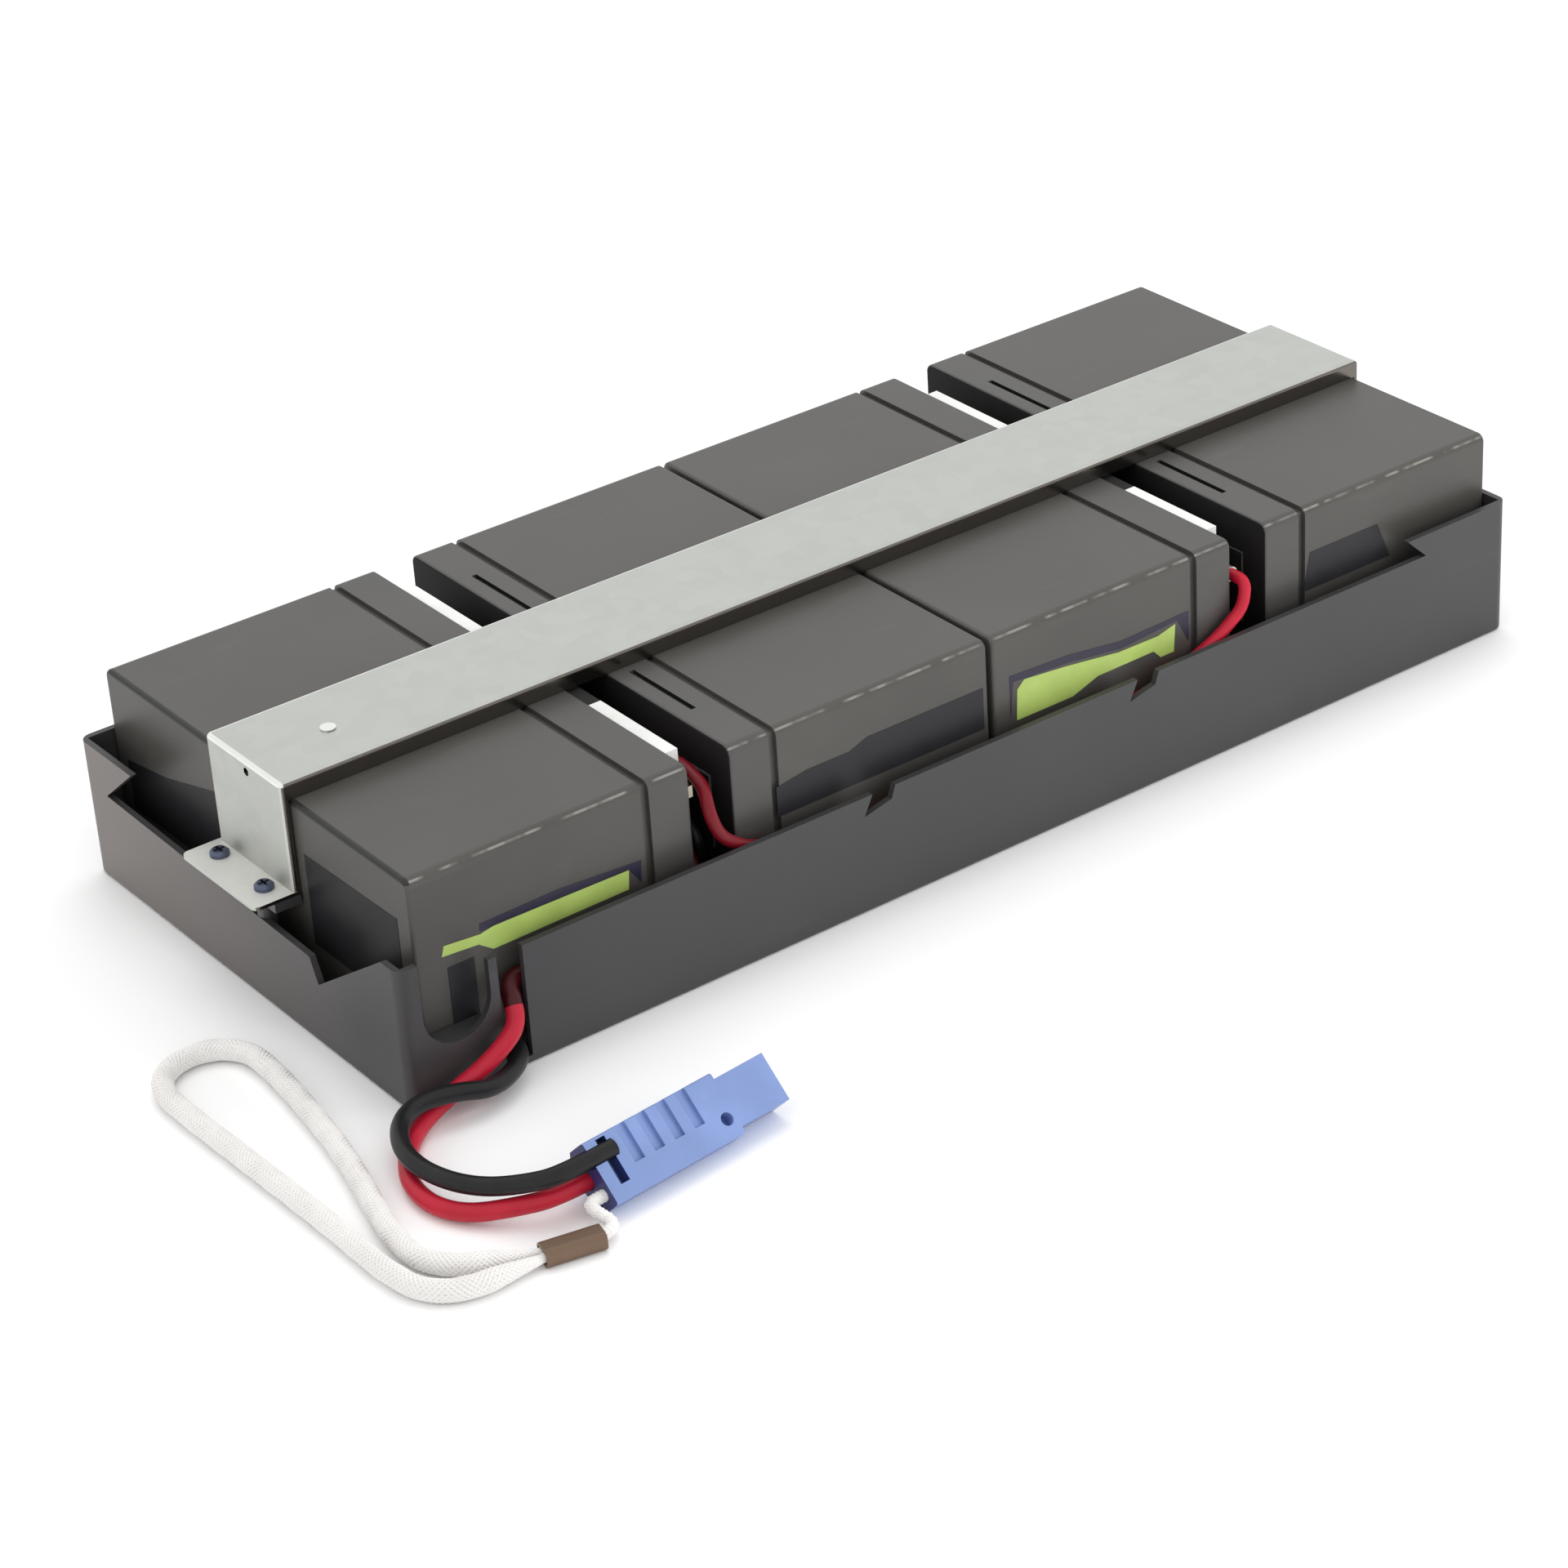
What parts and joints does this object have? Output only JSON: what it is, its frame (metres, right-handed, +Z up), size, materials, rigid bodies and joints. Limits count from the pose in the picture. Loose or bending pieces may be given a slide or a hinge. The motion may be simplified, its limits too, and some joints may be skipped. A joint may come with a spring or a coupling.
{
  "type": "ups battery cartridge",
  "caption": "Low black tray of sealed battery blocks wired in series, held down by a folded steel channel, with red and black leads, a two-pole connector and a pull cord.",
  "frame": {"origin": "bottom centre of the tray", "axes": "+X from the cable end to the far end, +Y from the cable side to the other long side, +Z up"},
  "size_m": [0.5176, 0.288, 0.08],
  "materials": {
    "tray_plastic": "moulded, fine grain",
    "galvanised_steel": "zinc coated sheet",
    "dark_screw": "dark zinc",
    "case_plastic": "moulded, satin",
    "lid_plastic": "moulded, satin",
    "tinned_blade": "tin plated",
    "tinned_sleeve": "tin plated",
    "white_strip": "dense foam",
    "black_insulation": "wire insulation",
    "red_insulation": "wire insulation",
    "white_cord": "braided cord",
    "blue_plastic": "moulded",
    "contact_metal": "plated",
    "crimp_metal": "aged"
  },
  "bodies": {
    "root": {"tray": "tray_plastic", "hold_down_channel": "galvanised_steel", "channel_screws": "dark_screw", "battery_case_front_1": "case_plastic", "battery_lid_front_1": "lid_plastic", "terminals_front_1": "tinned_blade", "receptacles_front_1": "tinned_sleeve", "battery_case_front_2": "case_plastic", "battery_lid_front_2": "lid_plastic", "terminals_front_2": "tinned_blade", "receptacles_front_2": "tinned_sleeve", "battery_case_front_3": "case_plastic", "battery_lid_front_3": "lid_plastic", "terminals_front_3": "tinned_blade", "receptacles_front_3": "tinned_sleeve", "battery_case_front_4": "case_plastic", "battery_lid_front_4": "lid_plastic", "terminals_front_4": "tinned_blade", "receptacles_front_4": "tinned_sleeve", "battery_case_back_1": "case_plastic", "battery_lid_back_1": "lid_plastic", "terminals_back_1": "tinned_blade", "receptacles_back_1": "tinned_sleeve", "battery_case_back_2": "case_plastic", "battery_lid_back_2": "lid_plastic", "terminals_back_2": "tinned_blade", "receptacles_back_2": "tinned_sleeve", "battery_case_back_3": "case_plastic", "battery_lid_back_3": "lid_plastic", "terminals_back_3": "tinned_blade", "receptacles_back_3": "tinned_sleeve", "battery_case_back_4": "case_plastic", "battery_lid_back_4": "lid_plastic", "terminals_back_4": "tinned_blade", "receptacles_back_4": "tinned_sleeve", "gap_strip_near": "white_strip", "gap_strip_far": "white_strip", "jumper_front_1_2": "black_insulation", "jumper_front_3_4": "black_insulation", "jumper_back_2_1": "black_insulation", "jumper_back_4_3": "black_insulation", "jumper_row_to_row": "black_insulation", "jumper_back_3_2": "black_insulation", "jumper_front_2_3": "red_insulation", "red_lead_inside": "red_insulation", "black_lead_inside": "black_insulation", "red_lead": "red_insulation", "black_lead": "black_insulation", "pull_cord_link": "white_cord", "pull_cord_loop": "white_cord", "connector_housing": "blue_plastic", "connector_contacts": "contact_metal", "cord_ferrule": "crimp_metal"}
  },
  "joints": []
}
